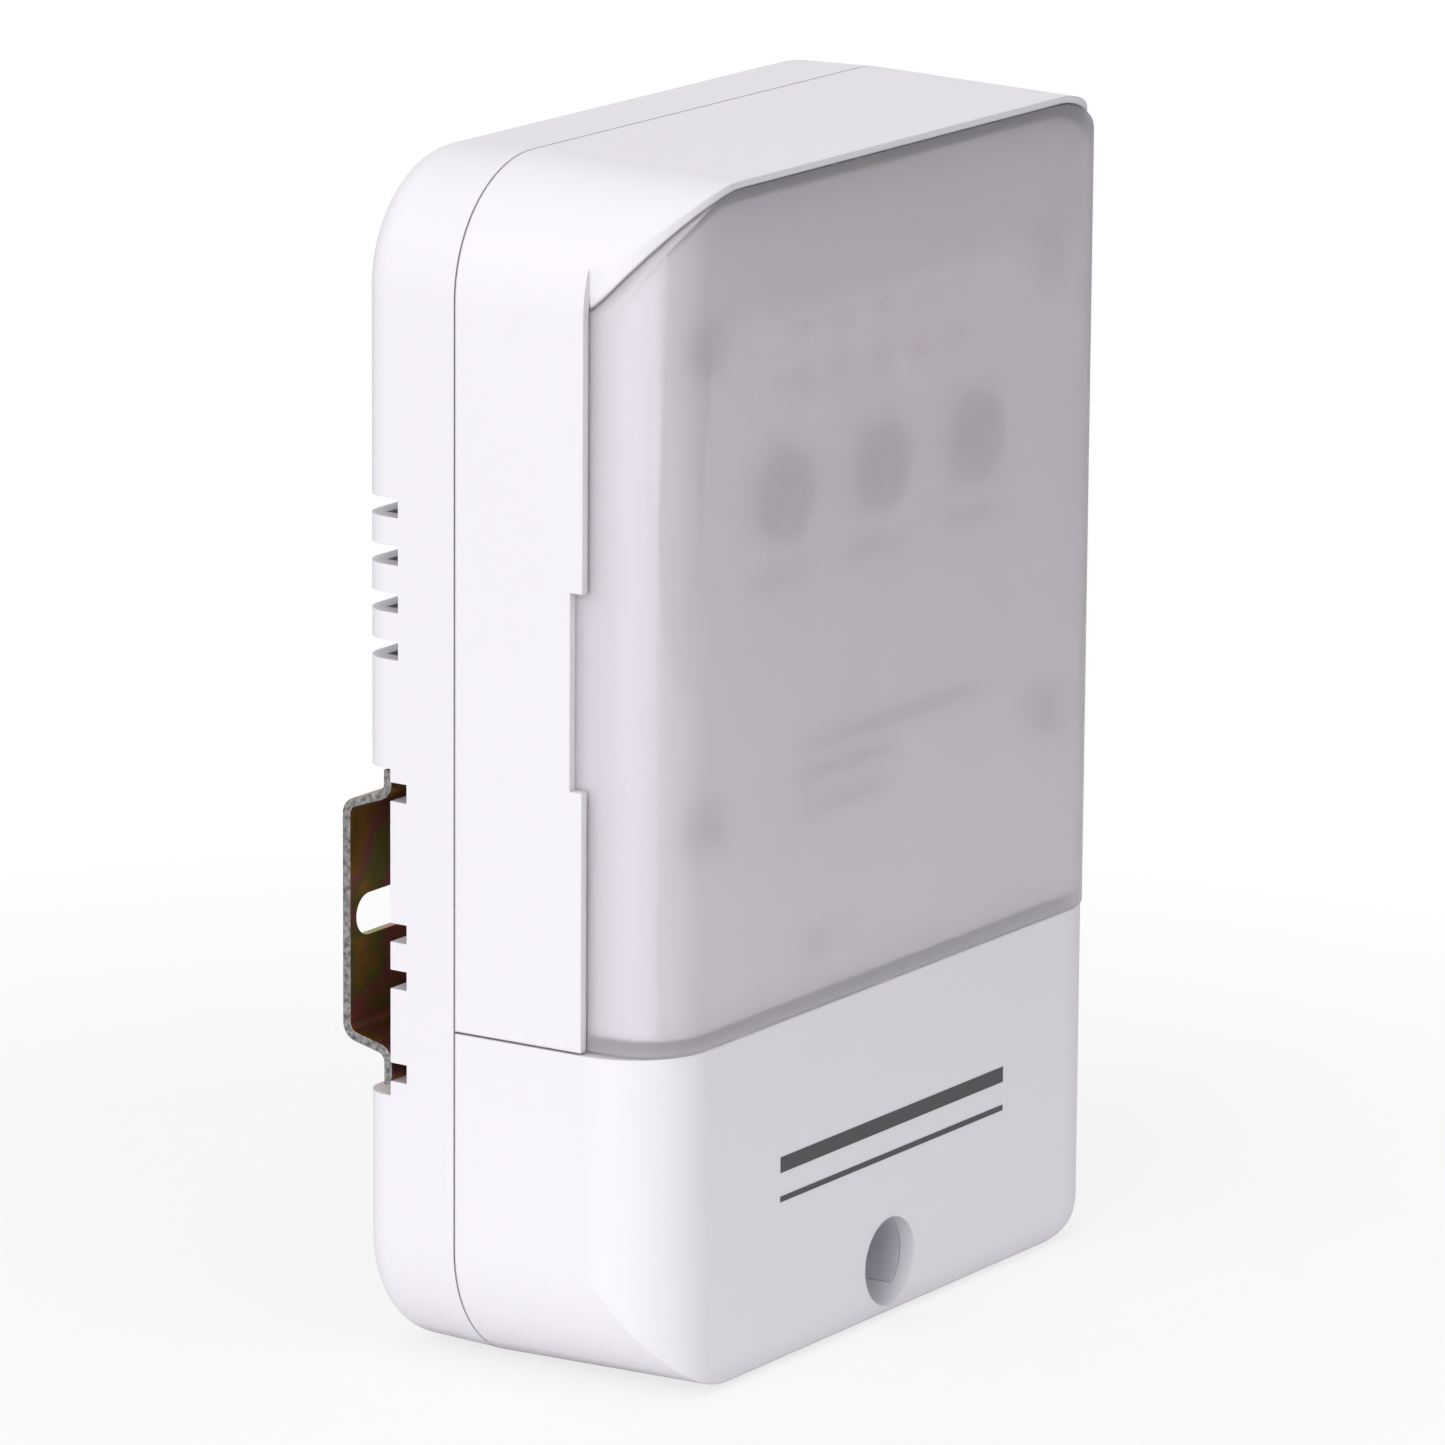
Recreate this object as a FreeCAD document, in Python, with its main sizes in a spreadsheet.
import FreeCAD, Part
import math
import os
import Sketcher

# Wall-mounted voltage and surge protector for a caravan supply.
# Inside the functions, the case has its own coordinates in millimetres: x to the right,
# y backwards from the front face, z up from the underside.  place() then moves every
# sub-part so that the origin lies in the wall plane, at the middle of the wall bracket.

SIZES = {
    # case
    "case_width": 115, "case_height": 165, "case_depth": 48.4, "corner_radius": 17.8,
    "parting_depth": 33, "parting_gap": 0.25, "draft_angle": 1.5, "case_wall": 2.5,
    "back_round": 4, "tongue_wall": 1.1, "tongue_reach": 1.8, "fit_gap": 0.3,
    # clear front door and the rim around it
    "seam_height": 48.1, "seam_gap": 0.15, "rim_wall": 1.2, "rim_end_depth": 12.7,
    "rim_proud": 0.25, "rim_round": 13, "door_wall": 1.8, "door_depth": 15, "door_round": 9.5,
    "notch_low": 83.7, "notch_high": 110.4, "notch_depth": 1.9,
    # fascia of the hood
    "fascia_depth": 4.6, "fascia_wall": 2, "step_wall": 1.8, "divider_wall": 2,
    # lower cover and its screw well
    "cover_round": 12, "cover_inset": 0.35, "well_radius": 6.2, "well_depth": 24,
    "well_wall": 1.6, "well_floor": 2, "well_height": 7.9, "cover_screw_radius": 1.75,
    "cover_head_radius": 3.6, "cover_head_height": 2.6, "cover_screw_length": 22,
    # vents and the recess in the back
    "vent_top": 118.3, "vent_pitch": 6.45, "vent_slot": 2.6, "vent_front": 42.2,
    "vent_reach": 12, "recess_low": 37.6, "recess_clearance": 2.8, "recess_depth": 43.5,
    "floor_slot_front": 40.8,
    # wall bracket
    "strap_width": 114, "strap_thickness": 1.2, "strap_rise": 6.8, "tab_reach": 1.7,
    "leg_top_gap": 3.1, "leg_top_drop": 2.4, "leg_bottom_gap": 5.4, "leg_bottom_drop": 1.6,
    "flange_gap": 1.3, "strap_bend": 1.3, "wall_slot_width": 5.8,
    "wall_slot_length": 16, "wall_slot_edge": 1.4, "tab_half_width": 44,
    # screws
    "post_radius": 3.6, "pilot_radius": 1.3, "screw_radius": 1.25, "screw_hole_radius": 1.6,
    "screw_head_radius": 3.7, "screw_head_height": 1.5, "slot_width": 0.9,
    "slot_depth": 0.7, "shell_screw_inset": 11, "shell_screw_low": 77.7,
    "shell_screw_drop": 23, "shell_screw_length": 32, "post_front": 26,
    "small_head_radius": 2.5, "small_head_height": 1.4, "board_screw_length": 5,
    "bracket_screw_x": 30,
    # controls
    "knob_spacing": 23.7, "knob_height": 119.3, "knob_radius": 5.8, "knob_proud": 1.6,
    "knob_length": 5.2, "knob_gap": 0.5, "shaft_radius": 3, "shaft_gap": 0.06,
    "trimmer_side": 11, "trimmer_depth": 5, "led_spacing": 9.75, "led_rise": 14.7,
    "led_radius": 1.5, "led_proud": 0.9, "led_flange": 2, "led_pin_radius": 0.3,
    "button_x": -14.6, "button_radius": 2.1, "button_proud": 0.9, "button_travel": 1.2,
    "button_collar": 0.7, "collar_thickness": 0.9, "switch_side": 6, "switch_depth": 4,
    "chip_side": 10, "chip_thickness": 1.6, "chip_x": 0, "chip_z": 92,
    # boards
    "board_thickness": 1.6, "board_side_gap": 1.7, "board_margin": 4.4, "control_depth": 15.6,
    "control_drop": 11, "power_depth": 40.2, "power_drop": 8,
    # parts on the power board
    "relay_width": 27, "relay_height": 32, "relay_depth": 19, "relay_x": -19.5,
    "relay_gap": 1.5, "board_foot": 9, "core_width": 30, "core_height": 24,
    "core_depth": 14, "core_x": 16,
    "core_drop": 2, "bobbin_width": 18, "bobbin_depth": 19, "bobbin_height": 17,
    "disc_radius": 9, "disc_thickness": 4.5, "disc_pitch": 9, "disc_x": -15,
    "disc_drop": 17.5, "lead_length": 2, "lead_radius": 0.4, "lead_offset": 3.75,
    "film_width": 18, "film_height": 7, "film_depth": 14, "film_x": 11, "film_drop": 22.4,
    "film_pitch": 8.5, "can_radius": 5.5, "can_depth": 16, "can_x": 28, "can_drop": 20,
    "fuse_radius": 2.6, "fuse_length": 20, "fuse_x": -12, "fuse_drop": 4.8,
    "clip_length": 5, "clip_wall": 0.5, "header_width": 15, "header_height": 4.6,
    "header_x": 13, "header_drop": 9,
    # wiring space
    "block_half_width": 39, "block_low": 20, "block_high": 44, "block_front": 14.5,
    "block_back": 33, "pole_pitch": 12.4, "pole_count": 6, "pole_recess": 6,
    "pole_barrier": 1.6, "pole_margin": 3, "pole_screw_radius": 1.6, "pole_head_radius": 3,
    "pole_screw_length": 8, "pole_screw_drop": 5, "clamp_thickness": 1.2, "clamp_side": 8.6,
    "wire_entry_radius": 3, "wire_entry_length": 14, "ear_width": 8, "ear_height": 10,
    "ear_thickness": 4, "bus_width": 8, "bus_thickness": 1, "bus_inset": 4,
    "bus_foot": 2, "grommet_x": 24, "grommet_radius": 10, "cable_radius": 7,
    "grommet_length": 10, "grommet_flange": 1.8, "grommet_inset": 0.6, "bar_length": 30,
    "bar_height": 7, "bar_thickness": 3, "bar_depth": 22.2, "bar_z": 13.6,
    "bar_screw_offset": 12,
}

document = FreeCAD.newDocument("voltage_protector")


class Size:
    """A length that keeps the sheet expression it was worked out from."""

    def __init__(self, value, text):
        self.value = value
        self.text = text

    def __add__(self, other):
        other = size_of(other)
        return Size(self.value + other.value, f"({self.text} + {other.text})")

    def __sub__(self, other):
        other = size_of(other)
        return Size(self.value - other.value, f"({self.text} - {other.text})")

    def __mul__(self, other):
        other = size_of(other)
        return Size(self.value * other.value, f"({self.text} * {other.text})")

    def __truediv__(self, other):
        other = size_of(other)
        return Size(self.value / other.value, f"({self.text} / {other.text})")

    def __neg__(self):
        return Size(-self.value, f"(-{self.text})")

    __radd__ = __add__
    __rmul__ = __mul__

    def __rsub__(self, other):
        return size_of(other) - self


def size_of(number):
    return number if isinstance(number, Size) else Size(float(number), f"{float(number):g}")


def tangent(angle):
    return Size(math.tan(math.radians(angle.value)), f"tan({angle.text} * 1 deg)")


def root(number):
    return Size(math.sqrt(number.value), f"sqrt({number.text})")


class Sheet:
    """The spreadsheet of driving sizes; each alias reads as an attribute."""

    def __init__(self, sizes):
        cells = document.addObject("Spreadsheet::Sheet", "Sizes")
        for row, (alias, value) in enumerate(sizes.items(), start=1):
            cells.set(f"A{row}", alias)
            cells.set(f"B{row}", str(value))
            cells.setAlias(f"B{row}", alias)
            setattr(self, alias, Size(float(value), f"Sizes.{alias}"))


s = Sheet(SIZES)
document.recompute()


# ---- shared helpers -------------------------------------------------------------------

def bind(thing, prop, size):
    thing.setExpression(prop, size_of(size).text)


def move_to(thing, x, y, z):
    for axis, size in zip("xyz", (x, y, z)):
        bind(thing, f"Placement.Base.{axis}", size)


def block(name, across, depth, height):
    """A plain block between a pair of sizes on each axis."""
    made = document.addObject("Part::Box", name)
    spans = (across, depth, height)
    for prop, span in zip(("Length", "Width", "Height"), spans):
        bind(made, prop, size_of(span[1]) - span[0])
    move_to(made, across[0], depth[0], height[0])
    return made


def rod(name, axis, radius, at, span):
    """A cylinder along axis; at holds its two other coordinates in x, y, z order."""
    made = document.addObject("Part::Cylinder", name)
    bind(made, "Radius", radius)
    bind(made, "Height", size_of(span[1]) - span[0])
    if axis == "x":
        made.Placement.Rotation = FreeCAD.Rotation(FreeCAD.Vector(0, 1, 0), 90)
        move_to(made, span[0], at[0], at[1])
    elif axis == "y":
        made.Placement.Rotation = FreeCAD.Rotation(FreeCAD.Vector(1, 0, 0), -90)
        move_to(made, at[0], span[0], at[1])
    else:
        move_to(made, at[0], at[1], span[0])
    return made


def boolean(kind, name, parts):
    if len(parts) == 1:
        return parts[0]
    made = document.addObject(kind, name)
    made.Shapes = list(parts)
    return made


def join(name, *parts):
    return boolean("Part::MultiFuse", name, parts)


def common(name, *parts):
    return boolean("Part::MultiCommon", name, parts)


def cut(name, base, *tools):
    made = document.addObject("Part::Cut", name)
    made.Base = base
    made.Tool = join(name + "_tools", *tools)
    return made


def ring(name, axis, outer, inner, at, span):
    past = (size_of(span[0]) - 1, size_of(span[1]) + 1)
    return cut(name, rod(name + "_outside", axis, outer, at, span),
               rod(name + "_hole", axis, inner, at, past))


def stadium(name, radius, middle, height, length, depth):
    """A slot tool cut along y, its length along x."""
    reach = size_of(length) / 2 - radius
    ends = [rod(f"{name}_end_{side}", "y", radius, (middle + reach * side, height), depth)
            for side in (-1, 1)]
    waist = block(name + "_waist", (middle - reach, middle + reach), depth,
                  (height - radius, height + radius))
    return join(name, waist, *ends)


def new_sketch(body, plane, offset):
    planes = {item.Role: item for item in body.Origin.OriginFeatures}
    sketch = body.newObject("Sketcher::SketchObject", body.Name + "_sketch")
    sketch.AttachmentSupport = [(planes[plane], "")]
    sketch.MapMode = "FlatFace"
    bind(sketch, "AttachmentOffset.Base.z", offset)
    return sketch


def constrain(sketch, kind, places, size, name):
    """One named dimension of a sketch, bound to the sheet."""
    index = sketch.addConstraint(Sketcher.Constraint(kind, *places, size_of(size).value))
    sketch.renameConstraint(index, name)
    bind(sketch, f"Constraints.{name}", size)


def rounded_rectangle(sketch, across, upright, radius):
    left, right = (size_of(edge) for edge in across)
    low, high = (size_of(edge) for edge in upright)
    corner = size_of(radius)
    x = (left.value, left.value + corner.value, right.value - corner.value, right.value)
    z = (low.value, low.value + corner.value, high.value - corner.value, high.value)
    runs = [((x[1], z[0]), (x[2], z[0])), ((x[3], z[1]), (x[3], z[2])),
            ((x[2], z[3]), (x[1], z[3])), ((x[0], z[2]), (x[0], z[1]))]
    centres = [(x[2], z[1]), (x[2], z[2]), (x[1], z[2]), (x[1], z[1])]
    for start, end in runs:
        sketch.addGeometry(Part.LineSegment(FreeCAD.Vector(*start, 0), FreeCAD.Vector(*end, 0)))
    for quarter, centre in enumerate(centres, start=-1):
        circle = Part.Circle(FreeCAD.Vector(*centre, 0), FreeCAD.Vector(0, 0, 1), corner.value)
        start = quarter * math.pi / 2
        sketch.addGeometry(Part.ArcOfCircle(circle, start, start + math.pi / 2))
    for side in range(4):
        sketch.addConstraint(Sketcher.Constraint("Tangent", side, 2, side + 4, 1))
        sketch.addConstraint(Sketcher.Constraint("Tangent", side + 4, 2, (side + 1) % 4, 1))
        way = "Horizontal" if side % 2 == 0 else "Vertical"
        sketch.addConstraint(Sketcher.Constraint(way, side))
    for arc in (5, 6, 7):
        sketch.addConstraint(Sketcher.Constraint("Equal", 4, arc))
    constrain(sketch, "Radius", (4,), corner, "corner")
    constrain(sketch, "DistanceX", (-1, 1, 3, 1), left, "left")
    constrain(sketch, "DistanceX", (-1, 1, 1, 1), right, "right")
    constrain(sketch, "DistanceY", (-1, 1, 0, 1), low, "low")
    constrain(sketch, "DistanceY", (-1, 1, 2, 1), high, "high")


def polygon(sketch, points):
    count = len(points)
    corners = [FreeCAD.Vector(size_of(a).value, size_of(b).value, 0) for a, b in points]
    for index in range(count):
        sketch.addGeometry(Part.LineSegment(corners[index], corners[(index + 1) % count]))
    for index, (a, b) in enumerate(points):
        after = (index + 1) % count
        sketch.addConstraint(Sketcher.Constraint("Coincident", index, 2, after, 1))
        constrain(sketch, "DistanceX", (-1, 1, index, 1), a, f"a{index}")
        constrain(sketch, "DistanceY", (-1, 1, index, 1), b, f"b{index}")


def pad(body, sketch, length, backwards=False, taper=None):
    made = body.newObject("PartDesign::Pad", body.Name + "_pad")
    made.Profile = sketch
    made.Reversed = backwards
    bind(made, "Length", length)
    if taper is not None:
        bind(made, "TaperAngle", -taper)
    sketch.Visibility = False
    return made


def slab(name, across, upright, radius, depth, taper=None):
    """A rounded rectangle seen from the front, padded from depth[0] to depth[1].

    A depth that runs forwards (to a smaller y) and one that runs backwards both taper
    away from depth[0].
    """
    body = document.addObject("PartDesign::Body", name)
    sketch = new_sketch(body, "XZ_Plane", -size_of(depth[0]))
    rounded_rectangle(sketch, across, upright, radius)
    run = size_of(depth[1]) - depth[0]
    backwards = run.value > 0
    pad(body, sketch, run if backwards else -run, backwards, taper)
    return body


def plan(name, half_width, front, radius, height):
    """A column seen from above whose two front edges are rounded."""
    body = document.addObject("PartDesign::Body", name)
    sketch = new_sketch(body, "XY_Plane", size_of(height[0]))
    back = s.case_depth + s.corner_radius + radius
    rounded_rectangle(sketch, (-half_width, half_width), (front, back), radius)
    pad(body, sketch, size_of(height[1]) - height[0])
    return body


def place(label, *pieces):
    """The finished sub-part: its pieces, moved into the frame of the wall bracket."""
    made = document.addObject("Part::Compound", label)
    made.Label = label
    made.Links = list(pieces)
    move_to(made, 0, -wall_depth, -strap_middle)
    sub_parts.append(made)
    return made


sub_parts = []

# ---- places worked out from the sheet -------------------------------------------------

half_width = s.case_width / 2
draft = tangent(s.draft_angle)
shell_front = s.parting_depth - s.parting_gap
tongue_front = s.parting_depth - s.tongue_reach
flange_back = s.recess_depth + s.strap_thickness
wall_depth = flange_back + s.strap_rise
power_high = s.case_height - s.power_drop
disc_z = power_high - s.disc_drop
relay_z = disc_z - s.disc_radius - s.relay_gap - s.relay_height / 2
power_low = relay_z - s.relay_height / 2 - s.board_foot
recess_high = power_low - s.recess_clearance - s.case_wall
flange_top = recess_high + s.tab_reach
leg_top = recess_high - s.leg_top_gap
leg_bottom = s.recess_low + s.leg_bottom_gap
flange_bottom = s.recess_low + s.flange_gap
strap_middle = (leg_top - s.leg_top_drop + leg_bottom + s.leg_bottom_drop) / 2
bracket_screw_z = (flange_bottom + leg_bottom) / 2
past_side = half_width + 5
past_top = s.case_height + 5

rim_draft = draft * (s.parting_depth - s.rim_end_depth)
rim_inside = half_width - rim_draft - s.rim_wall
rim_top = s.case_height - rim_draft - s.rim_wall
rim_corner = s.corner_radius - s.rim_wall
door_half = rim_inside - s.fit_gap
door_top = rim_top - s.fit_gap
door_corner = rim_corner - s.fit_gap
door_low = s.seam_height + s.seam_gap
door_back = s.rim_proud + s.door_wall
fascia_half = door_half - s.door_wall - s.fit_gap
fascia_top = door_top - s.door_wall - s.fit_gap
fascia_corner = door_corner - s.door_wall - s.fit_gap
fascia_low = door_low + s.door_wall + s.fit_gap
fascia_back = s.fascia_depth + s.fascia_wall
fascia_plan_front = door_back + s.fit_gap
fascia_round = s.door_round - s.door_wall - s.fit_gap
groove_depth = s.door_depth + s.fit_gap * 2
divider_top = fascia_low + s.divider_wall
button_z = divider_top + s.button_radius + s.button_collar + s.fit_gap
control_low = divider_top + s.fit_gap
cover_side_depth = s.cover_inset + s.cover_round
cover_half = half_width - draft * (s.parting_depth - cover_side_depth)
cover_top = s.seam_height - s.seam_gap
inner_back = s.case_depth - s.case_wall
recess_inside = s.recess_depth - s.case_wall
well_back = s.well_depth + s.well_floor
power_back = s.power_depth + s.board_thickness
control_back = s.control_depth + s.board_thickness
led_height = s.knob_height + s.led_rise
shell_screw_x = fascia_half - s.shell_screw_inset
board_half = shell_screw_x - s.post_radius - s.board_side_gap
control_high = s.case_height - s.control_drop
can_z = power_high - s.can_drop
fuse_z = power_high - s.fuse_drop
knob_places = {"high_voltage": -s.knob_spacing, "delay": size_of(0), "low_voltage": s.knob_spacing}
led_names = ("power", "output", "delay", "high", "low")
shell_screw_places = [(shell_screw_x * side, height) for side in (-1, 1)
                      for height in (s.shell_screw_low, s.case_height - s.shell_screw_drop)]
control_post_places = [((board_half - s.board_margin) * side, height) for side in (-1, 1)
                       for height in (control_low + s.board_margin,
                                      control_high - s.board_margin)]
power_post_places = [((board_half - s.board_margin) * side, height) for side in (-1, 1)
                     for height in (power_low + s.board_margin,
                                    power_high - s.board_margin)]
bar_screw_places = [(s.grommet_x * side + s.bar_screw_offset * end, s.bar_z)
                    for side in (-1, 1) for end in (-1, 1)]
ear_x = s.block_half_width + s.ear_width / 2
block_middle = (s.block_low + s.block_high) / 2
pole_places = [s.pole_pitch * (pole - (s.pole_count.value - 1) / 2)
               for pole in range(int(s.pole_count.value))]


# ---- case -----------------------------------------------------------------------------

def front_prism(name):
    """The outside of both front shells, drafted from the parting line to the front."""
    return slab(name, (-half_width, half_width), (0, s.case_height), s.corner_radius,
                (shell_front, 0), s.draft_angle)


def inside_prism(name, depth):
    return ring_prism(name, s.case_wall, depth)


def rear_room(name):
    """The space inside the rear shell."""
    return inside_prism(name, (s.parting_depth - 1, inner_back))


def recess_cut(name):
    return block(name, (-past_side, past_side), (s.recess_depth, wall_depth),
                 (s.recess_low, recess_high))


def pan_space(name):
    """The channel's outside, between the side walls and in front of the back wall."""
    rim = (s.recess_low - s.case_wall, recess_high + s.case_wall)
    return common(name, block(name + "_block", (-past_side, past_side),
                              (recess_inside, s.case_depth), rim), rear_room(name + "_room"))


def make_rear_shell():
    tray = slab("rear_tray", (-half_width, half_width), (0, s.case_height), s.corner_radius,
                (s.parting_depth, s.case_depth), s.draft_angle)
    document.recompute()
    round_back_edges(tray)
    inset = s.case_wall + s.fit_gap
    tongue_root = (s.parting_depth, s.parting_depth + s.case_wall)
    tongue = cut("tongue",
                 join("tongue_outside",
                      ring_prism("tongue_tip", inset, (tongue_root[1], tongue_front)),
                      ring_prism("tongue_root", s.case_wall / 2, tongue_root)),
                 ring_prism("tongue_inside", inset + s.tongue_wall,
                            (tongue_root[1] + 1, tongue_front - 1)))
    walls = cut("rear_walls", tray, rear_room("rear_inside"))
    posts, pilots = rear_posts("rear", on_pan=False)
    tools = [recess_cut("rear_recess"), pan_space("rear_pan")]
    tools += vent_tools("rear") + grommet_tools("rear")
    return cut("rear_cut", join("rear_joined", walls, tongue, *posts), *tools, *pilots)


def rear_part(label, shell, height):
    """The rear shell between two heights, split off at the edges of the channel."""
    return place(label, common(label + "_span", shell,
                               block(label + "_height", (-past_side, past_side),
                                     (0, wall_depth), height)))


def make_recess_pan():
    """The channel across the back that the wall bracket lies in, inside the side walls."""
    tools = [recess_cut("pan_recess"),
             block("tab_slit", (-s.tab_half_width - s.fit_gap, s.tab_half_width + s.fit_gap),
                   (s.recess_depth, flange_back + s.fit_gap),
                   (recess_high - 1, recess_high + s.case_wall + 1))]
    tools += vent_tools("pan")
    tools += [rod(f"bracket_hole_{side + 1}", "y", s.screw_hole_radius,
                  (s.bracket_screw_x * side, bracket_screw_z), (recess_inside - 1, wall_depth))
              for side in (-1, 1)]
    posts, pilots = rear_posts("pan", on_pan=True)
    return place("recess_pan", cut("pan_cut", join("pan_joined", pan_space("pan"), *posts),
                                   *tools, *pilots))


def ring_prism(name, inset, depth):
    """The case outline drawn in by inset, for the lip that locates the front shells."""
    edge = half_width - inset
    return slab(name, (-edge, edge), (inset, s.case_height - inset), s.corner_radius - inset,
                depth, s.draft_angle)


def round_back_edges(body):
    """Rounds the outline of the back face of a padded body."""
    base = body.Tip
    names = [f"Edge{number}" for number, edge in enumerate(base.Shape.Edges, start=1)
             if edge.BoundBox.YMin > s.case_depth.value - 0.01]
    fillet = body.newObject("PartDesign::Fillet", body.Name + "_fillet")
    fillet.Base = (base, names)
    bind(fillet, "Radius", s.back_round)


def vent_tools(name):
    tools = []
    for side in (-1, 1):
        across = sorted((half_width * side - s.vent_reach * side, past_side * side),
                        key=lambda size: size.value)
        for step in (0, 1, 2, 3):
            height = s.vent_top - s.vent_pitch * step
            tools.append(block(f"{name}_vent_{side + 1}_{step}", across, (s.vent_front, wall_depth),
                               (height - s.vent_slot / 2, height + s.vent_slot / 2)))
        for step in (6, 9, 10, 12):
            height = s.vent_top - s.vent_pitch * step
            tools.append(block(f"{name}_floor_slot_{side + 1}_{step}", across,
                               (s.floor_slot_front, wall_depth),
                               (height - s.vent_slot / 2, height + s.vent_slot / 2)))
    return tools


def grommet_tools(name):
    return [rod(f"{name}_grommet_{side + 1}", "z", s.grommet_radius + s.fit_gap,
                (s.grommet_x * side, s.parting_depth), (-1, s.case_wall * 2 + 1))
            for side in (-1, 1)]


def rear_posts(name, on_pan):
    """Posts that stand on the rear shell or on the pan, and the pilot holes down them."""
    rows = [(x, z, s.post_radius, s.post_front, s.pilot_radius) for x, z in shell_screw_places]
    rows += [(x, z, s.post_radius, power_back, s.pilot_radius) for x, z in power_post_places]
    rows += [(x, z, s.post_radius, s.bar_depth + s.bar_thickness, s.pilot_radius)
             for x, z in bar_screw_places]
    rows += [(ear_x * side, block_middle, s.post_radius, s.block_back, s.pilot_radius)
             for side in (-1, 1)]
    rows.append((size_of(0), s.well_height, s.post_radius + 1, well_back + s.fit_gap,
                 s.cover_screw_radius + s.shaft_gap))
    posts = []
    pilots = []
    for number, (x, z, radius, front, hole) in enumerate(rows):
        in_recess = (s.recess_low - radius).value < z.value < (recess_high + radius).value
        if in_recess != on_pan:
            continue
        back = recess_inside if in_recess else inner_back
        posts.append(rod(f"{name}_post_{number}", "y", radius, (x, z), (front, back + 1)))
        pilots.append(rod(f"{name}_pilot_{number}", "y", hole, (x, z), (front - 1, back)))
    return posts, pilots


def make_front_hood():
    rim_plan = join("rim_plan",
                    plan("rim_front", door_half + s.rim_proud, 0, s.rim_round, (-1, past_top)),
                    block("rim_side", (-past_side, past_side), (s.rim_end_depth, wall_depth),
                          (-1, past_top)))
    outside = common("hood_outside", front_prism("hood_prism"), rim_plan)
    door_room = slab("door_room", (-rim_inside, rim_inside), (0, rim_top), rim_corner,
                     (groove_depth, -1))
    step_back = groove_depth + s.step_wall
    behind = cut("hood_behind", inside_prism("hood_inside", (shell_front + 1, step_back)),
                 block("divider", (-past_side, past_side), (0, shell_front - s.tongue_reach * 2),
                       (0, divider_top)))
    shell = cut("hood_shell", outside, door_room, behind)
    step = fascia_block("fascia_outside", 0, (step_back, s.fascia_depth))
    step_room = fascia_block("fascia_inside", s.step_wall, (step_back + 1, fascia_back))
    posts, holes = hood_posts()
    body = join("hood_joined", cut("fascia_step", join("fascia_solid", shell, step), step_room),
                *posts)
    below = block("hood_below", (-past_side, past_side), (-1, wall_depth), (-1, door_low))
    under = block("hood_under", (-rim_inside, rim_inside), (-1, wall_depth), (-1, fascia_low))
    tools = [below, under, *holes, *notch_tools(), *control_holes()]
    return place("front_hood", cut("hood_cut", body, *tools))


def fascia_block(name, inset, depth):
    """The raised table behind the door, rounded to follow it; its lower corners are square."""
    edge = fascia_half - inset
    whole = common(name + "_rounded",
                   slab(name + "_slab", (-edge, edge), (0, fascia_top - inset),
                        fascia_corner - inset, depth),
                   plan(name + "_plan", edge, fascia_plan_front, fascia_round,
                        (-1, s.case_height)))
    low = fascia_low + (s.divider_wall if size_of(inset).value > 0 else 0)
    return cut(name, whole, block(name + "_trim", (-past_side, past_side), (0, wall_depth),
                                  (-1, low)))


def hood_posts():
    posts = []
    holes = []
    for number, (x, z) in enumerate(shell_screw_places):
        posts.append(rod(f"hood_post_{number}", "y", s.post_radius, (x, z),
                         (s.fascia_depth + 1, s.post_front - s.fit_gap)))
        holes.append(rod(f"hood_hole_{number}", "y", s.screw_hole_radius, (x, z),
                         (0, s.post_front)))
    for number, (x, z) in enumerate(control_post_places):
        posts.append(rod(f"control_post_{number}", "y", s.post_radius, (x, z),
                         (s.fascia_depth + 1, s.control_depth)))
        holes.append(rod(f"control_pilot_{number}", "y", s.pilot_radius, (x, z),
                         (fascia_back, s.control_depth + 1)))
    return posts, holes


def notch_tools():
    """Finger notches that bare the door's flanks on both sides."""
    tools = []
    for side in (-1, 1):
        across = sorted((door_half * side, past_side * side), key=lambda size: size.value)
        tools.append(block(f"notch_{side + 1}", across,
                           (0, s.rim_end_depth + s.notch_depth), (s.notch_low, s.notch_high)))
    return tools


def control_holes():
    through = (0, fascia_back + 1)
    holes = [rod(f"knob_hole_{number}", "y", s.knob_radius + s.knob_gap, (x, s.knob_height),
                 through) for number, x in enumerate(knob_places.values())]
    holes += [rod(f"led_hole_{number}", "y", s.led_radius + s.fit_gap,
                  (led_x(number), led_height), through) for number in range(len(led_names))]
    holes.append(rod("button_hole", "y", s.button_radius + s.fit_gap,
                     (s.button_x, button_z), through))
    return holes


def led_x(number):
    return s.led_spacing * (number - (len(led_names) - 1) / 2)


def make_status_cover():
    outside = common("door_outside",
                     slab("door_slab", (-door_half, door_half), (0, door_top), door_corner,
                          (s.door_depth, 0)),
                     plan("door_plan", door_half, s.rim_proud, s.door_round, (0, past_top)))
    inner = door_half - s.door_wall
    hollow = common("door_hollow",
                    slab("door_room_slab", (-inner, inner),
                         (-s.corner_radius, door_top - s.door_wall),
                         door_corner - s.door_wall, (s.door_depth + 1, 0)),
                    plan("door_room_plan", inner, door_back, s.door_round - s.door_wall,
                         (door_low + s.door_wall, past_top)))
    below = block("door_below", (-past_side, past_side), (-1, wall_depth), (-1, door_low))
    return place("status_cover", cut("door_cut", outside, hollow, below))


def cover_plan(name, inset):
    """The cover seen from above: rounded front edges, then the full width behind them."""
    return join(name, plan(name + "_front", cover_half - inset, s.cover_inset + inset,
                           s.cover_round - inset, (-1, past_top)),
                block(name + "_side", (-past_side, past_side), (cover_side_depth, wall_depth),
                      (-1, past_top)))


def cover_room(name):
    """The space inside the lower cover."""
    return common(name, inside_prism(name + "_prism", (shell_front + 1, 0)),
                  cover_plan(name + "_lining", s.case_wall))


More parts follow.
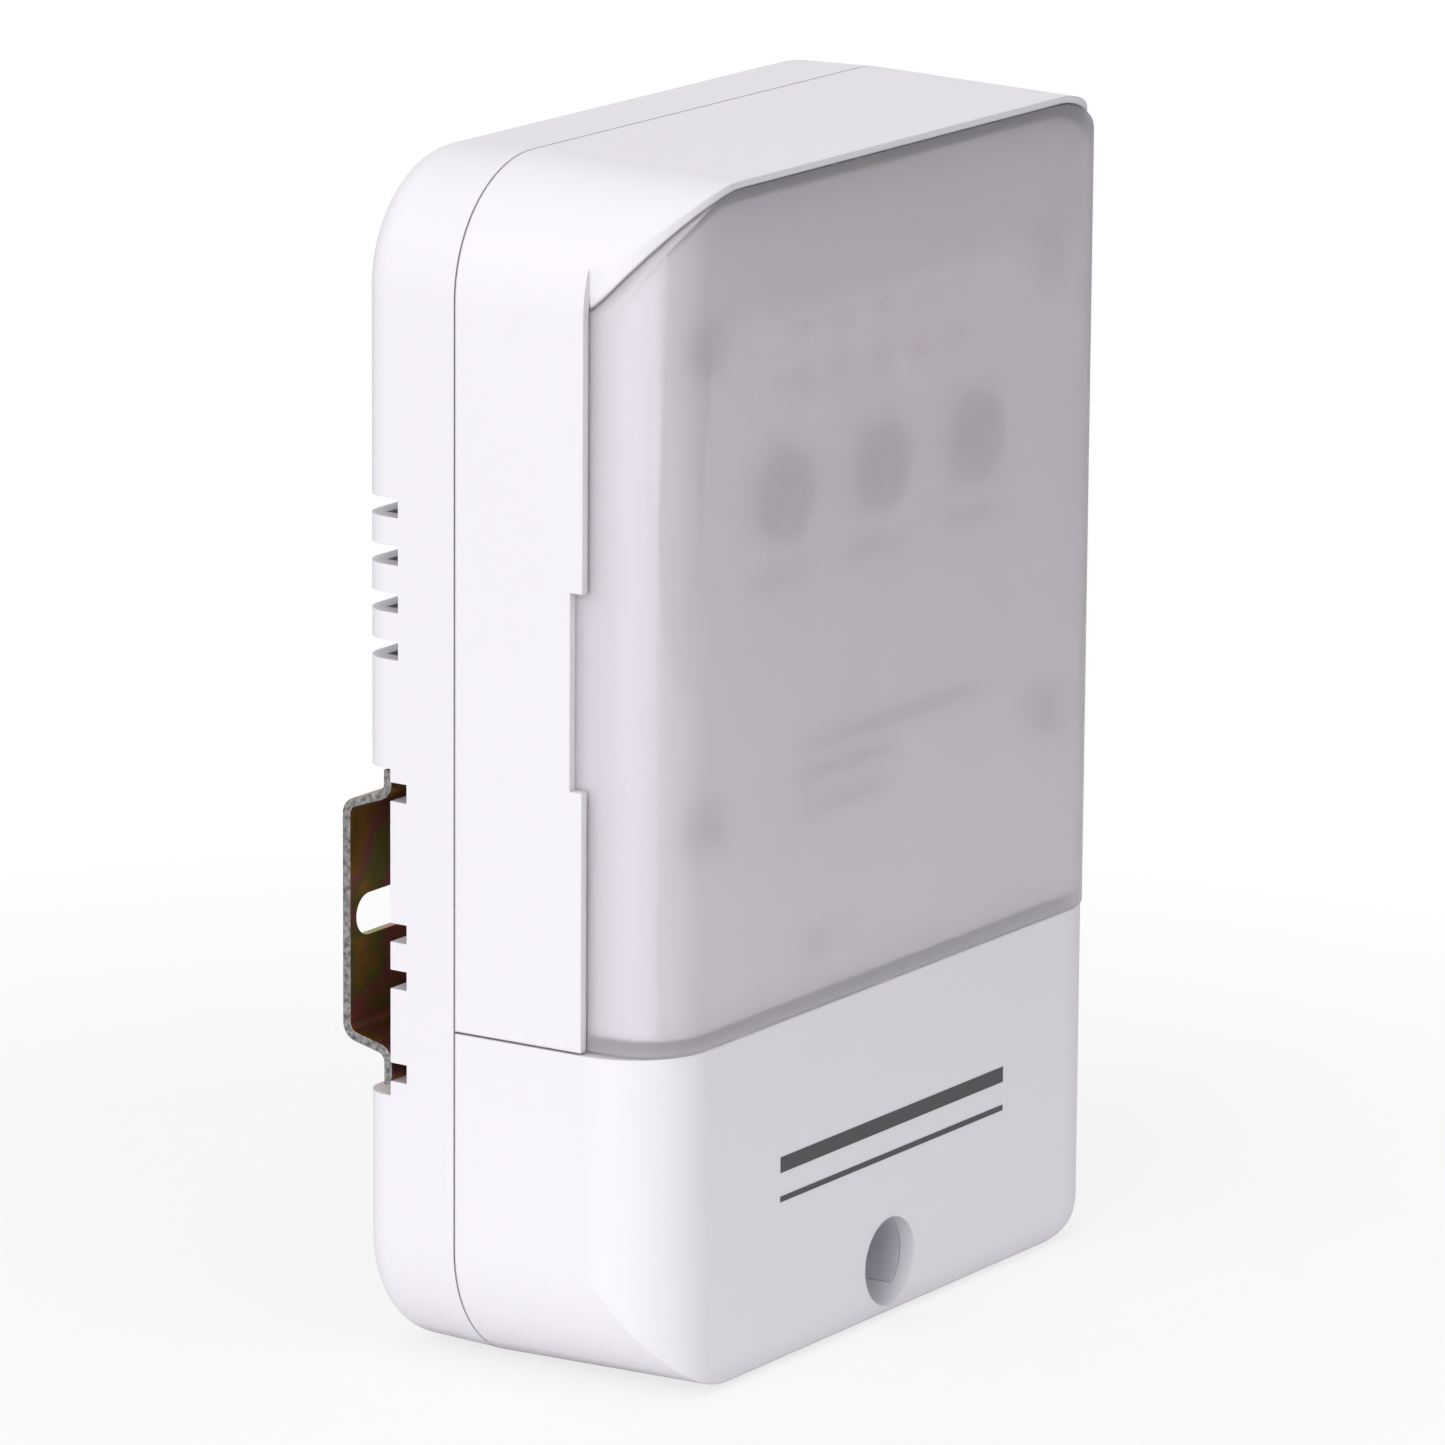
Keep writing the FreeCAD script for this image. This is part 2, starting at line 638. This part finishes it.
def well_bore(name):
    return rod(name, "y", s.well_radius, (0, s.well_height), (-1, s.well_depth))


def make_lower_cover():
    outside = common("cover_outside", front_prism("cover_prism"),
                     cover_plan("cover_skin", 0))
    above = block("cover_above", (-past_side, past_side), (-1, wall_depth), (cover_top, past_top))
    return place("lower_cover", cut("cover_cut", outside, cover_room("cover_inside"), above,
                                    well_bore("cover_bore"), *grommet_tools("cover")))


def make_cover_well():
    """The cup behind the cover's front that the screw's head sits in."""
    centre = (0, s.well_height)
    cup = common("well_cup", rod("well_outside", "y", s.well_radius + s.well_wall, centre,
                                 (0, well_back)), cover_room("well_room"))
    hole = rod("well_hole", "y", s.cover_screw_radius + s.fit_gap, centre, (0, wall_depth))
    return place("cover_well", cut("well_cut", cup, well_bore("well_bore"), hole))


# ---- bracket --------------------------------------------------------------------------

def strap_outline():
    """The hat section of the strap, y and z, round the outside and back up the inside."""
    thick = s.strap_thickness
    top_slope = s.leg_top_drop / s.strap_rise
    low_slope = s.leg_bottom_drop / s.strap_rise
    top_skin = thick * root(top_slope * top_slope + 1)
    low_skin = thick * root(low_slope * low_slope + 1)
    web_top = leg_top - s.leg_top_drop
    web_low = leg_bottom + s.leg_bottom_drop
    inside_web = wall_depth - thick
    return [(flange_back, flange_top), (flange_back, leg_top), (wall_depth, web_top),
            (wall_depth, web_low), (flange_back, leg_bottom), (flange_back, flange_bottom),
            (s.recess_depth, flange_bottom),
            (s.recess_depth, leg_bottom - low_slope * thick + low_skin),
            (inside_web, web_low - low_slope * thick + low_skin),
            (inside_web, web_top + top_slope * thick - top_skin),
            (s.recess_depth, leg_top + top_slope * thick - top_skin),
            (s.recess_depth, flange_top)]


def bend_edges(shape, corners):
    """Names of the edges along x that stand at the given corners of the outline."""
    names = []
    for number, edge in enumerate(shape.Edges, start=1):
        box = edge.BoundBox
        if box.XLength < 1:
            continue
        for y, z in corners:
            if abs(box.YMin - y.value) < 0.01 and abs(box.ZMin - z.value) < 0.01:
                names.append(f"Edge{number}")
    return names


def round_bends(body, corners, radius, name):
    base = body.Tip
    fillet = body.newObject("PartDesign::Fillet", name)
    fillet.Base = (base, bend_edges(base.Shape, corners))
    bind(fillet, "Radius", radius)
    document.recompute()


def make_wall_bracket():
    body = document.addObject("PartDesign::Body", "strap")
    sketch = new_sketch(body, "YZ_Plane", -s.strap_width / 2)
    outline = strap_outline()
    polygon(sketch, outline)
    pad(body, sketch, s.strap_width)
    document.recompute()
    outer = [outline[index] for index in (2, 3, 7, 10)]
    inner = [outline[index] for index in (1, 4, 8, 9)]
    round_bends(body, outer, s.strap_bend + s.strap_thickness, "strap_outer_bends")
    round_bends(body, inner, s.strap_bend, "strap_inner_bends")
    tools = []
    for side in (-1, 1):
        middle = (s.strap_width / 2 - s.wall_slot_edge - s.wall_slot_length / 2) * side
        beside_tab = sorted((s.tab_half_width * side, past_side * side),
                            key=lambda size: size.value)
        tools.append(block(f"beside_tab_{side + 1}", beside_tab, (recess_inside, wall_depth),
                           (recess_high - s.fit_gap, flange_top + 1)))
        tools.append(stadium(f"wall_slot_{side + 1}", s.wall_slot_width / 2, middle,
                             strap_middle, s.wall_slot_length,
                             (flange_back + 1, wall_depth + 1)))
        tools.append(rod(f"flange_hole_{side + 1}", "y", s.pilot_radius,
                         (s.bracket_screw_x * side, bracket_screw_z),
                         (recess_inside, flange_back + 1)))
    return place("wall_bracket", cut("strap_cut", body, *tools))


# ---- screws ---------------------------------------------------------------------------

def screw(name, x, z, seat, radius, length, head_radius, head_height, forwards=True):
    """A slotted pan-head screw along y; its head stands in front of the seat.

    With forwards False it is driven from behind and its head stands behind the seat.
    """
    way = -1 if forwards else 1
    face = seat + head_height * way
    spans = {"head": sorted((face, size_of(seat)), key=lambda size: size.value),
             "shank": sorted((size_of(seat), seat - size_of(length) * way),
                             key=lambda size: size.value),
             "slot": sorted((face - s.slot_depth * way, face + way), key=lambda size: size.value)}
    solid = join(name + "_turned",
                 rod(name + "_head", "y", head_radius, (x, z), spans["head"]),
                 rod(name + "_shank", "y", radius, (x, z), spans["shank"]))
    slot = block(name + "_slot", (x - head_radius, x + head_radius), spans["slot"],
                 (z - s.slot_width / 2, z + s.slot_width / 2))
    return cut(name, solid, slot)


def make_screws():
    place("shell_screws", *[
        screw(f"shell_screw_{number}", x, z, s.fascia_depth, s.screw_radius,
              s.shell_screw_length, s.screw_head_radius, s.screw_head_height)
        for number, (x, z) in enumerate(shell_screw_places)])
    place("control_board_screws", *[
        screw(f"control_screw_{number}", x, z, control_back, s.screw_radius,
              s.board_screw_length + s.board_thickness, s.small_head_radius,
              s.small_head_height, forwards=False)
        for number, (x, z) in enumerate(control_post_places)])
    place("power_board_screws", *[
        screw(f"power_screw_{number}", x, z, s.power_depth, s.screw_radius,
              s.board_screw_length, s.small_head_radius, s.small_head_height)
        for number, (x, z) in enumerate(power_post_places)])
    place("cable_clamp_screws", *[
        screw(f"bar_screw_{number}", x, z, s.bar_depth, s.screw_radius,
              s.board_screw_length * 2, s.small_head_radius, s.small_head_height)
        for number, (x, z) in enumerate(bar_screw_places)])
    place("terminal_block_screws", *[
        screw(f"ear_screw_{side + 1}", ear_x * side, block_middle, s.block_back - s.ear_thickness,
              s.screw_radius, s.ear_thickness + s.board_screw_length, s.small_head_radius,
              s.small_head_height)
        for side in (-1, 1)])


def make_bracket_screws():
    """Two short screws pass through the floor of the recess into the strap's lower flange."""
    place("bracket_screws", *[
        screw(f"bracket_screw_{side + 1}", s.bracket_screw_x * side, bracket_screw_z,
              recess_inside, s.screw_radius, s.case_wall + s.strap_thickness,
              s.small_head_radius, s.small_head_height)
        for side in (-1, 1)])


def make_cover_screw():
    seat = s.well_depth - s.strap_thickness
    place("cover_screw", screw("cover_screw_solid", size_of(0), s.well_height, seat,
                               s.cover_screw_radius, s.cover_screw_length, s.cover_head_radius,
                               s.cover_head_height))
    place("cover_screw_washer",
          ring("washer", "y", s.cover_head_radius + 1, s.cover_screw_radius + s.shaft_gap,
               (0, s.well_height), (seat, s.well_depth)))


# ---- controls -------------------------------------------------------------------------

def make_knob(name, x):
    """A knob on its trimmer's shaft, with a pointer slot across its face."""
    face = s.fascia_depth - s.knob_proud
    back = face + s.knob_length
    solid = rod(name + "_knob_solid", "y", s.knob_radius, (x, s.knob_height), (face, back))
    slot = block(name + "_knob_slot", (x - s.slot_width, x + s.slot_width),
                 (face - 1, face + s.slot_depth),
                 (s.knob_height - s.slot_width, s.knob_height + s.knob_radius + 1))
    socket = rod(name + "_knob_socket", "y", s.shaft_radius, (x, s.knob_height),
                 (back - s.knob_length / 2, back + 1))
    place(name + "_knob", cut(name + "_knob_cut", solid, slot, socket))
    shaft_end = s.control_depth - s.trimmer_depth / 2
    place(name + "_shaft", rod(name + "_shaft_solid", "y", s.shaft_radius, (x, s.knob_height),
                               (back - s.knob_length / 2, shaft_end)))
    side = s.trimmer_side / 2
    case = block(name + "_case", (x - side, x + side),
                 (s.control_depth - s.trimmer_depth, s.control_depth),
                 (s.knob_height - side, s.knob_height + side))
    bore = rod(name + "_bore", "y", s.shaft_radius + s.shaft_gap, (x, s.knob_height),
               (s.control_depth - s.trimmer_depth - 1, shaft_end + s.fit_gap))
    place(name + "_trimmer", cut(name + "_trimmer_cut", case, bore))


def make_led(name, x):
    """A domed lamp whose flange stops behind the fascia, on two pins into the board."""
    tip = s.fascia_depth - s.led_proud
    dome = document.addObject("Part::Sphere", name + "_dome")
    bind(dome, "Radius", s.led_radius)
    move_to(dome, x, tip + s.led_radius, led_height)
    barrel = rod(name + "_barrel", "y", s.led_radius, (x, led_height),
                 (tip + s.led_radius, fascia_back + s.fit_gap))
    flange = rod(name + "_flange", "y", s.led_flange, (x, led_height),
                 (fascia_back + s.fit_gap, fascia_back + s.led_radius))
    pins = [rod(f"{name}_pin_{side + 1}", "y", s.led_pin_radius,
                (x + s.led_radius * side * 0.8, led_height),
                (fascia_back + s.led_radius, s.control_depth)) for side in (-1, 1)]
    place(name + "_led", join(name + "_led_solid", dome, barrel, flange, *pins))


def make_reset_button():
    """A sprung cap whose collar stops behind the fascia, over its switch."""
    centre = (s.button_x, button_z)
    switch_front = s.control_depth - s.switch_depth
    rest_gap = s.button_travel + s.fit_gap / 2
    collar = fascia_back + s.fit_gap / 2
    cap = rod("button_cap", "y", s.button_radius, centre,
              (s.fascia_depth - s.button_proud, switch_front - rest_gap))
    flange = rod("button_flange", "y", s.button_radius + s.button_collar, centre,
                 (collar, collar + s.collar_thickness))
    place("reset_button", join("button_solid", cap, flange))
    place("reset_switch", box_at("switch_case", s.button_x, button_z, s.switch_side,
                                 s.switch_side, (switch_front, s.control_depth)))


# ---- boards ---------------------------------------------------------------------------

def box_at(name, x, z, width, height, depth):
    """A block centred on x and z."""
    x = size_of(x)
    z = size_of(z)
    return block(name, (x - size_of(width) / 2, x + size_of(width) / 2), depth,
                 (z - size_of(height) / 2, z + size_of(height) / 2))


def make_board(label, half, low, high, front, holes):
    plate = block(label + "_plate", (-half, half), (front, front + s.board_thickness), (low, high))
    bores = [rod(f"{label}_bore_{number}", "y", s.screw_hole_radius, (x, z),
                 (front - 1, front + s.board_thickness + 1))
             for number, (x, z) in enumerate(holes)]
    return place(label, cut(label + "_cut", plate, *bores))


def make_controls():
    make_board("control_board", board_half, control_low, control_high,
               s.control_depth, control_post_places)
    place("controller_chip", box_at("chip", s.chip_x, s.chip_z, s.chip_side,
                                    s.chip_side,
                                    (s.control_depth - s.chip_thickness, s.control_depth)))
    for name, x in knob_places.items():
        make_knob(name, x)
    for number, name in enumerate(led_names):
        make_led(name, led_x(number))
    make_reset_button()


def make_power_stage():
    make_board("power_board", board_half, power_low, power_high, s.power_depth,
               power_post_places)
    place("board_link_header", box_at("header", s.header_x, power_high - s.header_drop,
                                      s.header_width, s.header_height,
                                      (control_back, s.power_depth)))
    place("power_relay", box_at("relay", s.relay_x, relay_z, s.relay_width,
                                s.relay_height, (s.power_depth - s.relay_depth, s.power_depth)))
    make_transformer()
    make_varistors()
    place("film_capacitors", *[
        box_at(f"film_{step}", s.film_x,
               power_high - s.film_drop + s.film_pitch * (step - 0.5), s.film_width,
               s.film_height, (s.power_depth - s.film_depth, s.power_depth))
        for step in (0, 1)])
    place("smoothing_capacitor", rod("can", "y", s.can_radius, (s.can_x, can_z),
                                     (s.power_depth - s.can_depth, s.power_depth)))
    make_fuse()


def make_transformer():
    """A laminated core standing on a bobbin that pokes out in front and behind it."""
    bobbin_span = (s.power_depth - s.bobbin_depth, s.power_depth)
    middle = s.power_depth - s.bobbin_depth / 2
    core_span = (middle - s.core_depth / 2, middle + s.core_depth / 2)
    core_z = relay_z - s.core_drop
    core = box_at("core_stack", s.core_x, core_z, s.core_width, s.core_height, core_span)
    window = box_at("core_window", s.core_x, core_z, s.bobbin_width + s.fit_gap,
                    s.bobbin_height + s.fit_gap, (size_of(0), s.power_depth))
    place("transformer_core", cut("core_cut", core, window))
    place("transformer_bobbin", box_at("bobbin", s.core_x, core_z, s.bobbin_width,
                                       s.bobbin_height, bobbin_span))


def make_varistors():
    """Three surge-absorbing discs on edge, each on two leads."""
    middle = s.power_depth - s.lead_length - s.disc_radius
    for number, name in enumerate(("line", "neutral", "earth")):
        x = s.disc_x + s.disc_pitch * (number - 1)
        disc = rod(name + "_disc", "x", s.disc_radius, (middle, disc_z),
                   (x - s.disc_thickness / 2, x + s.disc_thickness / 2))
        leads = [rod(f"{name}_lead_{side + 1}", "y", s.lead_radius,
                     (x, disc_z + s.lead_offset * side), (middle, s.power_depth))
                 for side in (-1, 1)]
        place(name + "_varistor", join(name + "_varistor_solid", disc, *leads))


def make_fuse():
    middle = s.power_depth - s.fuse_radius - s.clip_wall
    ends = (s.fuse_x - s.fuse_length / 2, s.fuse_x + s.fuse_length / 2)
    place("glass_fuse", rod("fuse", "x", s.fuse_radius, (middle, fuse_z), ends))
    clips = []
    for side, end in zip((1, -1), ends):
        span = sorted((end, end + s.clip_length * side), key=lambda size: size.value)
        outer = s.fuse_radius + s.clip_wall
        cradle = block(f"clip_{side + 1}", span, (middle, s.power_depth),
                       (fuse_z - outer, fuse_z + outer))
        seat = rod(f"clip_seat_{side + 1}", "x", s.fuse_radius + s.shaft_gap,
                   (middle, fuse_z), (span[0] - 1, span[1] + 1))
        clips.append(cut(f"clip_cut_{side + 1}", cradle, seat))
    place("fuse_clips", *clips)


# ---- wiring space ---------------------------------------------------------------------

def make_terminals():
    half = s.block_half_width
    body = block("block_body", (-half, half), (s.block_front, s.block_back),
                 (s.block_low, s.block_high))
    ear = s.block_half_width + s.ear_width
    ears = box_at("block_ears", 0, block_middle, ear * 2, s.ear_height,
                  (s.block_back - s.ear_thickness, s.block_back))
    tools = [rod(f"ear_hole_{side + 1}", "y", s.screw_hole_radius, (ear_x * side, block_middle),
                 (s.block_front, s.block_back + 1)) for side in (-1, 1)]
    floor = s.block_front + s.pole_recess
    screw_z = s.block_high - s.pole_margin - s.pole_screw_drop - s.clamp_side / 4
    screws = []
    clamps = []
    for number, x in enumerate(pole_places):
        tools.append(block(f"pole_{number}", (x - (s.pole_pitch - s.pole_barrier) / 2,
                                              x + (s.pole_pitch - s.pole_barrier) / 2),
                           (s.block_front - 1, floor),
                           (s.block_low + s.pole_margin, s.block_high - s.pole_margin)))
        tools.append(rod(f"pole_bore_{number}", "y", s.pole_screw_radius + s.shaft_gap,
                         (x, screw_z), (floor - 1, floor + s.pole_screw_length + 1)))
        tools.append(rod(f"wire_entry_{number}", "z", s.wire_entry_radius,
                         (x, floor + s.wire_entry_radius + 1),
                         (s.block_low - 1, s.block_low + s.wire_entry_length)))
        seat = floor - s.clamp_thickness
        screws.append(screw(f"pole_screw_{number}", x, screw_z, seat, s.pole_screw_radius,
                            s.pole_screw_length, s.pole_head_radius, s.small_head_height))
        plate = box_at(f"pole_plate_{number}", x, screw_z, s.clamp_side, s.clamp_side,
                       (seat, floor))
        hole = rod(f"pole_plate_hole_{number}", "y", s.pole_screw_radius + s.shaft_gap,
                   (x, screw_z), (seat - 1, floor + 1))
        clamps.append(cut(f"pole_clamp_{number}", plate, hole))
    place("terminal_block", cut("block_cut", join("block_joined", body, ears), *tools))
    place("terminal_screws", *screws)
    place("terminal_clamps", *clamps)


def make_bus_straps():
    """Copper straps from the backs of the live and neutral poles up to the power board."""
    for name, x in zip(("line_in", "neutral_in", "neutral_out", "line_out"), pole_places[1:-1]):
        across = (x - s.bus_width / 2, x + s.bus_width / 2)
        top = power_low + s.bus_foot + s.bus_thickness
        blade = block(name + "_blade", across, (s.block_back, s.block_back + s.bus_thickness),
                      (s.block_low + s.bus_inset, top))
        foot = block(name + "_foot", across, (s.block_back, s.power_depth),
                     (top - s.bus_thickness, top))
        place(name + "_strap", join(name + "_strap_solid", blade, foot))


def make_cable_entries():
    bars = []
    for side, name in ((-1, "supply"), (1, "outlet")):
        centre = (s.grommet_x * side, s.parting_depth)
        flange = s.case_wall + s.fit_gap * 2 + s.tongue_wall
        body = join(name + "_grommet_body",
                    rod(name + "_grommet_tube", "z", s.grommet_radius, centre,
                        (s.grommet_inset, s.grommet_length)),
                    rod(name + "_grommet_rim", "z", s.grommet_radius + s.grommet_flange, centre,
                        (flange, flange + s.grommet_flange)))
        bore = rod(name + "_grommet_bore", "z", s.cable_radius, centre,
                   (-1, s.grommet_length + 1))
        place(name + "_grommet", cut(name + "_grommet_cut", body, bore))
        bar = box_at(name + "_bar", centre[0], s.bar_z, s.bar_length, s.bar_height,
                     (s.bar_depth, s.bar_depth + s.bar_thickness))
        holes = [rod(f"{name}_bar_hole_{end + 1}", "y", s.screw_hole_radius,
                     (centre[0] + s.bar_screw_offset * end, s.bar_z),
                     (s.bar_depth - 1, s.bar_depth + s.bar_thickness + 1)) for end in (-1, 1)]
        bars.append(cut(name + "_bar_cut", bar, *holes))
    place("cable_clamp_bars", *bars)


def report(node):
    shape = node.Shape
    print(node.Label, len(shape.Solids), [round(v, 2) for v in (shape.BoundBox.XMin,
          shape.BoundBox.XMax, shape.BoundBox.YMin, shape.BoundBox.YMax,
          shape.BoundBox.ZMin, shape.BoundBox.ZMax)])


def build():
    rear = make_rear_shell()
    rear_part("rear_shell", rear, (recess_high, past_top))
    rear_part("rear_side_walls", rear, (s.recess_low, recess_high))
    rear_part("rear_foot", rear, (-1, s.recess_low))
    make_recess_pan()
    make_front_hood()
    make_status_cover()
    make_lower_cover()
    make_cover_well()
    make_wall_bracket()
    make_bracket_screws()
    make_screws()
    make_cover_screw()
    make_controls()
    make_power_stage()
    make_terminals()
    make_bus_straps()
    make_cable_entries()


def check_and_export():
    document.recompute()
    for thing in document.Objects:
        if "Invalid" in thing.State or "Error" in thing.State:
            raise RuntimeError(f"{thing.Name} failed: {thing.State}")
    os.makedirs("parts", exist_ok=True)
    for node in sub_parts:
        if node.Shape.isNull() or not node.Shape.isValid() or not node.Shape.Solids:
            raise RuntimeError(f"{node.Label} has no valid shape")
        node.Shape.exportStep(f"parts/{node.Label}.step")
        report(node)


build()
check_and_export()
